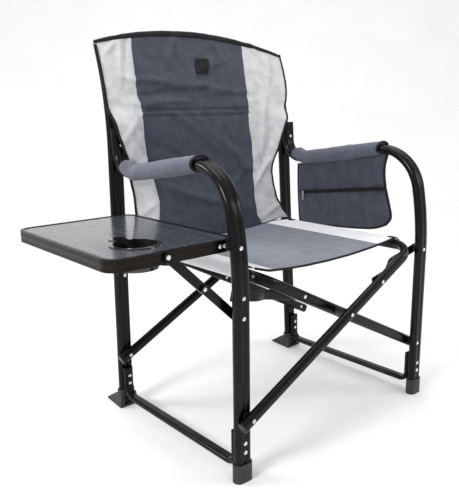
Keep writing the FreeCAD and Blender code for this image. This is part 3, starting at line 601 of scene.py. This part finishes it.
label_rows = []
for r in range(9):
    label_rows.append([back_point(-24 + 12 * r / 8 + 44 * c / 9, 831 + 42 * r / 8, 1.9) for c in range(10)])
label = sheet_mesh("label_cloth", label_rows, [LABEL], thick=0.9)
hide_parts("label_patch")
edge_loop = [(-21, 833), (18, 833), (29, 871), (-10, 871), (-21, 833)]
edge_points = []
for (x0, z0), (x1, z1) in zip(edge_loop, edge_loop[1:]):
    edge_points += [(x0 + (x1 - x0) * k / 9, z0 + (z1 - z0) * k / 9) for k in range(9)]
path, ups = on_back(edge_points, 2.2)
trims.append(stitches("label_stitching", path, ups, DARK_THREAD, 2.6, 1.4, 0.6))

# ---- seat sling ----
RAIL_X = 230
TUNNEL = 14  # points of the profile in each rail tunnel


def seat_profile():
    """Cross-section: tunnel round one rail, the sagging seat, tunnel round the other rail."""
    left = []
    for k in range(TUNNEL):
        turn = radians(205 - 115 * k / (TUNNEL - 1))
        left.append((-RAIL_X + 17.6 * cos(turn), 408.6 + 17.4 * sin(turn)))
    right = [(-x, z) for x, z in reversed(left)]
    middle = []
    for k in range(1, 72):
        x = -RAIL_X + 2 * RAIL_X * k / 72
        middle.append((x, 426.0 - 14.5 * (1 - (x / RAIL_X) ** 2)))
    return left + middle + right


PROFILE = seat_profile()
SEAT_REAR_Y = 205.0


def seat_front(x):
    """Front edge of the seat, close to straight between the rail corners."""
    return -199 + 9 * (x + RAIL_X) / (2 * RAIL_X) + 3 * (1 - (x / RAIL_X) ** 2)


def tunnel_ends(x):
    """Front and rear end of the tunnel on the rail nearest to x."""
    return (-147.0, 147.0) if x < 0 else (-190.0, 171.0)


def seat_rows():
    rows = []
    count = 74
    for r in range(count + 1):
        v = r / count
        row = []
        for i, (x, z) in enumerate(PROFILE):
            inner = TUNNEL <= i < len(PROFILE) - TUNNEL
            y0, y1 = tunnel_ends(x)
            if inner:
                near = min(1.0, (RAIL_X - abs(x)) / (20 if x < 0 else 34))
                ease = max(0.0, near) ** 0.7
                y0 += (seat_front(x) - y0) * ease
                y1 += (SEAT_REAR_Y - y1) * ease
            y = y0 + (y1 - y0) * v
            w = 0.5 * noise.noise(Vector((x / 40, y / 46, 1.0)))
            w += 1.1 * sin(pi * v) * (0.35 if inner else 0.0)
            row.append(Vector((x, y, z + w)))
        rows.append(row)
    return rows


SEAT_SEAM_LEFT, SEAT_SEAM_RIGHT = -196, 165


def seat_kind(r, c):
    return 1 if SEAT_SEAM_LEFT < PROFILE[c][0] < SEAT_SEAM_RIGHT else 0


seat_points = seat_rows()
seat = sheet_mesh("seat_sling", seat_points, [WHITE, SEAT], seat_kind, 2.2)
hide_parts("seat_cloth")
seat_trims = []
up = Vector((0, 0, 1))
front_edge = [seat_points[0][i] + Vector((0, 0.5, -0.6)) for i in range(TUNNEL, len(PROFILE) - TUNNEL)]
seat_trims.append(strip("seat_front_binding", front_edge, [up] * len(front_edge), 6.5, 5.4, BINDING))
back_edge = [seat_points[-1][i] + Vector((0, -0.5, -0.6)) for i in range(TUNNEL, len(PROFILE) - TUNNEL)]
seat_trims.append(strip("seat_back_binding", back_edge, [up] * len(back_edge), 6.0, 4.6, BINDING))
for tag, line_x, off in (("left", SEAT_SEAM_LEFT, -4), ("right", SEAT_SEAM_RIGHT, 4)):
    i = min(range(len(PROFILE)), key=lambda k: abs(PROFILE[k][0] - line_x - off))
    line = [row[i] + Vector((0, 0, 0.3)) for row in seat_points[1:-1]]
    seat_trims.append(stitches(tag + "_seat_stitching", line, [up] * len(line), THREAD))
for tag, ids in (("left", range(TUNNEL + 1)), ("right", range(len(PROFILE) - TUNNEL - 1, len(PROFILE)))):
    for end, r in (("front", 0), ("back", -1)):
        inset = Vector((0, 9.5 if end == "front" else -9.5, 0))
        edge = [seat_points[r][i] + inset for i in ids]
        middle = Vector((-RAIL_X if tag == "left" else RAIL_X, edge[0].y, 408.6))
        outward = [(p - middle).normalized() for p in edge]
        name = tag + "_" + end + "_sleeve_binding"
        seat_trims.append(strip(name, edge, [Vector((n.x, 0, n.z)) for n in outward], 24.0, 3.6, BINDING))


def arm_z(y):
    """Height of the arm tube's centre line."""
    lean, slope = radians(11.4), radians(8.5)
    bent_y = -216 + 810 * (1 - cos(lean))
    bent_z = 385 + 810 * sin(lean)
    cy, cz = bent_y + 113.5 * cos(lean), bent_z - 113.5 * sin(lean)
    ay, az = cy + 113.5 * sin(slope), cz + 113.5 * cos(slope)
    return az - (y - ay) * tan(slope)


# ---- pocket ----
YAW = radians(2.25)


def side_point(y, z, out=0.0):
    """Point in the plane of the pocket-side arm; out is towards the sitter."""
    dy = y + 216
    return Vector((303 - dy * sin(YAW) - out * cos(YAW), -216 + dy * cos(YAW) - out * sin(YAW), z))


def pocket_edges(v):
    """Rear and front edge of the pocket from the bottom, 0, to the top, 1."""
    rear = curve([(0, 184), (0.3, 189), (0.7, 193), (1, 193)], v)
    front = curve([(0, -112), (0.1, -125), (0.28, -118), (0.55, -104), (0.8, -100), (1, -108)], v)
    return rear, front


def pocket_z(t, v):
    """Height at t from rear, 0, to front, 1, and v from bottom to top."""
    low = curve([(0, 408), (0.45, 415), (0.75, 421), (0.9, 428), (1, 440)], t)
    high = arm_z(184 - 290 * t) - 14.5
    return low + (high - low) * v


def pocket_skin(out, puff, phase):
    rows = []
    for r in range(45):
        v = r / 44
        rear, front = pocket_edges(v)
        row = []
        for c in range(57):
            t = c / 56
            y = rear + (front - rear) * t
            z = pocket_z(t, v)
            body = (1 - (2 * t - 1) ** 4) * (1 - (2 * v - 1) ** 6)
            w = puff * body + 1.7 * noise.noise(Vector((y / 44, z / 34, phase))) * body
            w += fold(y, z, 0, 470, 62, 40, 9, 1.6) + fold(y, z, 90, 440, -40, 40, 8, 1.6)
            w += fold(y, z, -60, 560, 84, 24, 6, 1.3)
            w -= 2.0 * exp(-((z - (500 + 34 * t)) / 8.5) ** 2) * body
            row.append(side_point(y, z, out * (1.6 + max(0.0, w))))
        rows.append(row)
    return rows


def pocket_bag():
    """Both skins of the pocket as one closed flat bag."""
    inner, outer = pocket_skin(1.0, 4.6, 3.0), pocket_skin(-1.0, 3.2, 9.0)
    nr, nc = len(inner), len(inner[0])
    count = nr * nc
    verts = [place(p) for rows in (inner, outer) for row in rows for p in row]
    faces = []
    for r in range(nr - 1):
        for c in range(nc - 1):
            a, b, d, e = r * nc + c, r * nc + c + 1, (r + 1) * nc + c + 1, (r + 1) * nc + c
            faces += [(a, e, d, b), (a + count, b + count, d + count, e + count)]
    ring = grid_rim(nr, nc)
    for i, j in zip(ring, ring[1:] + ring[:1]):
        faces.append((i, j, j + count, i + count))
    mesh = bpy.data.meshes.new("pocket_bag")
    mesh.from_pydata(verts, [], faces)
    mesh.materials.append(POCKET)
    uv = mesh.uv_layers.new(name="cloth")
    for loop in mesh.loops:
        r, c = divmod(loop.vertex_index % count, nc)
        uv.data[loop.index].uv = (c * 0.0054, r * 0.0037)
    for face in mesh.polygons:
        face.use_smooth = True
    obj = bpy.data.objects.new("pocket_bag", mesh)
    scene.collection.objects.link(obj)
    return obj


pocket = pocket_bag()
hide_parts("pocket")
inward = Vector((-cos(YAW), -sin(YAW), 0))
pocket_trims = []
bound = [(0, 1 - k / 30) for k in range(31)] + [(k / 40, 0) for k in range(1, 41)]
bound += [(1, k / 30) for k in range(1, 31)]
edge = []
for t, v in bound:
    rear, front = pocket_edges(v)
    edge.append(side_point(rear + (front - rear) * t, pocket_z(t, v), 0))
pocket_trims.append(strip("pocket_binding", edge, [inward] * len(edge), 8.5, 5.0, BINDING))
for off, tag in ((9.5, "upper"), (-9.5, "lower")):
    line = []
    for k in range(60):
        t = 0.03 + 0.93 * k / 59
        rear, front = pocket_edges(0.6)
        line.append(side_point(rear + (front - rear) * t, 500 + 34 * t + off, 5.6))
    pocket_trims.append(stitches(tag + "_zip_stitching", line, [inward] * len(line), DARK_THREAD))
teeth = []
for k in range(74):
    t = 0.04 + 0.92 * k / 73
    rear, front = pocket_edges(0.6)
    y, z = rear + (front - rear) * t, 500 + 34 * t
    a, b = side_point(y, z - 1.7, 7.0), side_point(y, z + 1.7, 7.0)
    teeth.append(strip("tooth" + str(k), [a, (a + b) / 2, b], [inward] * 3, 1.7, 1.2, TAPE))
pocket_trims.append(merge("zip_teeth", teeth))


# ---- arm pads ----
def soft_pad(name, node):
    """Foam sleeve in fabric: the fabric swells a little between its bound ends."""
    source = nodes[node]
    obj = source.copy()
    obj.data = source.data.copy()
    obj.name = name
    obj.parent = None
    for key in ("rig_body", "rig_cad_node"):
        if key in obj:
            del obj[key]
    scene.collection.objects.link(obj)
    bpy.context.view_layer.objects.active = obj
    remesh = obj.modifiers.new("remesh", "REMESH")
    remesh.mode = "VOXEL"
    remesh.voxel_size = 0.0026
    bpy.context.view_layer.update()
    evaluated = obj.evaluated_get(bpy.context.evaluated_depsgraph_get())
    mesh = bpy.data.meshes.new_from_object(evaluated)
    obj.modifiers.clear()
    obj.data = mesh
    start = [v.co.copy() for v in mesh.vertices]
    cloth = obj.modifiers.new("cloth", "CLOTH")
    cloth.settings.use_pressure = True
    cloth.settings.uniform_pressure_force = 4.0
    cloth.settings.effector_weights.gravity = 0.0
    cloth.point_cache.frame_start = 1
    cloth.point_cache.frame_end = 20
    for f in range(1, 21):
        scene.frame_set(f)
    evaluated = obj.evaluated_get(bpy.context.evaluated_depsgraph_get())
    moved = [v.co.copy() for v in evaluated.data.vertices]
    obj.modifiers.clear()
    for v, a, b in zip(mesh.vertices, start, moved):
        step = b - a
        if step.length > 0.004:
            step = step.normalized() * 0.004
        v.co = a + step
    scene.frame_set(1)
    low = min(v.co.y for v in mesh.vertices)
    high = max(v.co.y for v in mesh.vertices)
    for v in mesh.vertices:
        t = (v.co.y - low) / (high - low)
        wave = noise.noise(v.co * 55) * 0.0009 + noise.noise(v.co * 18) * 0.0016
        v.co.z += wave * min(1.0, min(t, 1 - t) * 14)
    for face in mesh.polygons:
        face.use_smooth = True
    mesh.materials.clear()
    mesh.materials.append(PAD)
    sub = obj.modifiers.new("smooth", "SUBSURF")
    sub.levels = 1
    sub.render_levels = 1
    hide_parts(node)
    return obj


table_pad = soft_pad("table_side_padding", "table_side_arm_pad")
pocket_pad = soft_pad("pocket_side_padding", "pocket_side_arm_pad")
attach(table_pad, "table_side_frame")
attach(pocket_pad, "pocket_side_frame")


def pad_ring(tag, side, body, y, z):
    """Bound end of an arm pad, an oval roll round the tube."""
    ring, ups = [], []
    for k in range(33):
        turn = 2 * pi * k / 32
        dy = y + 216
        centre = Vector((side * (303 - dy * sin(YAW)), y, z))
        out = Vector((cos(turn) * 23.2, -sin(turn) * 16.6 * 0.15, sin(turn) * 16.6))
        ring.append(centre + out)
        ups.append(out.normalized())
    obj = strip(tag, ring, ups, 8.0, 3.6, BINDING)
    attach(obj, body)
    return obj


for side, tag, body in ((-1, "table_side", "table_side_frame"), (1, "pocket_side", "pocket_side_frame")):
    pad_ring(tag + "_pad_front_binding", side, body, -91, arm_z(-91))
    seam, ups = [], []
    for k in range(61):
        y = -84 + 250 * k / 60
        dy = y + 216
        seam.append(Vector((side * (303 - dy * sin(YAW) - 12), y, arm_z(y) - 15.4)))
        ups.append(Vector((-side * 0.55, 0, -0.83)))
    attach(stitches(tag + "_pad_stitching", seam, ups, DARK_THREAD), body)

# ---- what each piece follows ----
for obj in [back, label] + trims:
    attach(obj, "table_side_frame")
    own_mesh(obj)
for obj in [seat] + seat_trims:
    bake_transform(obj)
for obj in [pocket] + pocket_trims:
    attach(obj, "pocket_side_frame")


# ---- floor, light and camera ----
def floor_mesh():
    """Seamless pale floor that curves up into a wall behind the chair."""
    verts, faces = [], []
    path = [(-9.0, -0.0005), (1.6, -0.0005)]
    for k in range(1, 13):
        turn = radians(90 * k / 12)
        path.append((1.6 + 2.5 * sin(turn), 2.5 * (1 - cos(turn))))
    path.append((4.1, 9.0))
    for y, z in path:
        for x in (-12.0, 12.0):
            p = Matrix.Rotation(radians(-40.27), 3, "Z") @ Vector((x, y, z))
            verts.append(p)
    for i in range(len(path) - 1):
        faces.append((2 * i, 2 * i + 1, 2 * i + 3, 2 * i + 2))
    mesh = bpy.data.meshes.new("studio_floor")
    mesh.from_pydata(verts, [], faces)
    for face in mesh.polygons:
        face.use_smooth = True
    obj = bpy.data.objects.new("studio_floor", mesh)
    scene.collection.objects.link(obj)
    m = shader("studio", (0.9, 0.9, 0.9), 0.85, specular=0.1)
    at = here(m)
    to(m, tint(m, cloud(m, at, 3), (0.89, 0.89, 0.89), (0.92, 0.92, 0.92)), "Base Color")
    mesh.materials.append(m)
    return obj


floor_mesh()


def lamp(name, where, target, size, power, tall=None):
    data = bpy.data.lights.new(name, "AREA")
    data.energy = power
    data.size = size
    if tall:
        data.shape = "RECTANGLE"
        data.size_y = tall
    obj = bpy.data.objects.new(name, data)
    obj.location = where
    obj.rotation_euler = (Vector(target) - Vector(where)).to_track_quat("-Z", "Y").to_euler()
    scene.collection.objects.link(obj)


lamp("key", (-2.9, -0.5, 2.1), (0.1, 0.1, 0.6), 0.9, 62)
lamp("fill", (2.6, -2.6, 1.8), (0.1, 0, 0.5), 1.2, 30)
lamp("back_left", (-2.2, 2.0, 2.2), (0.1, 0, 0.6), 0.9, 40)
lamp("top", (0.3, 0.2, 3.2), (0.1, 0, 0.4), 2.0, 30)
world = bpy.data.worlds.new("studio_air")
world.use_nodes = True
world.node_tree.nodes["Background"].inputs[0].default_value = (1, 1, 1, 1)
world.node_tree.nodes["Background"].inputs[1].default_value = 0.7
scene.world = world
scene.view_settings.view_transform = "Standard"

camera_data = bpy.data.cameras.new("camera")
camera_data.lens = 44.83
camera_data.sensor_width = 36
camera_data.clip_end = 60
camera = bpy.data.objects.new("camera", camera_data)
camera.location = (-0.9378, -1.1068, 0.7469)
turn = Matrix.Rotation(radians(-40.27), 3, "Z") @ Matrix.Rotation(radians(77.02), 3, "X")
camera.rotation_euler = (turn @ Matrix.Rotation(radians(-0.78), 3, "Z")).to_euler()
scene.collection.objects.link(camera)
scene.camera = camera
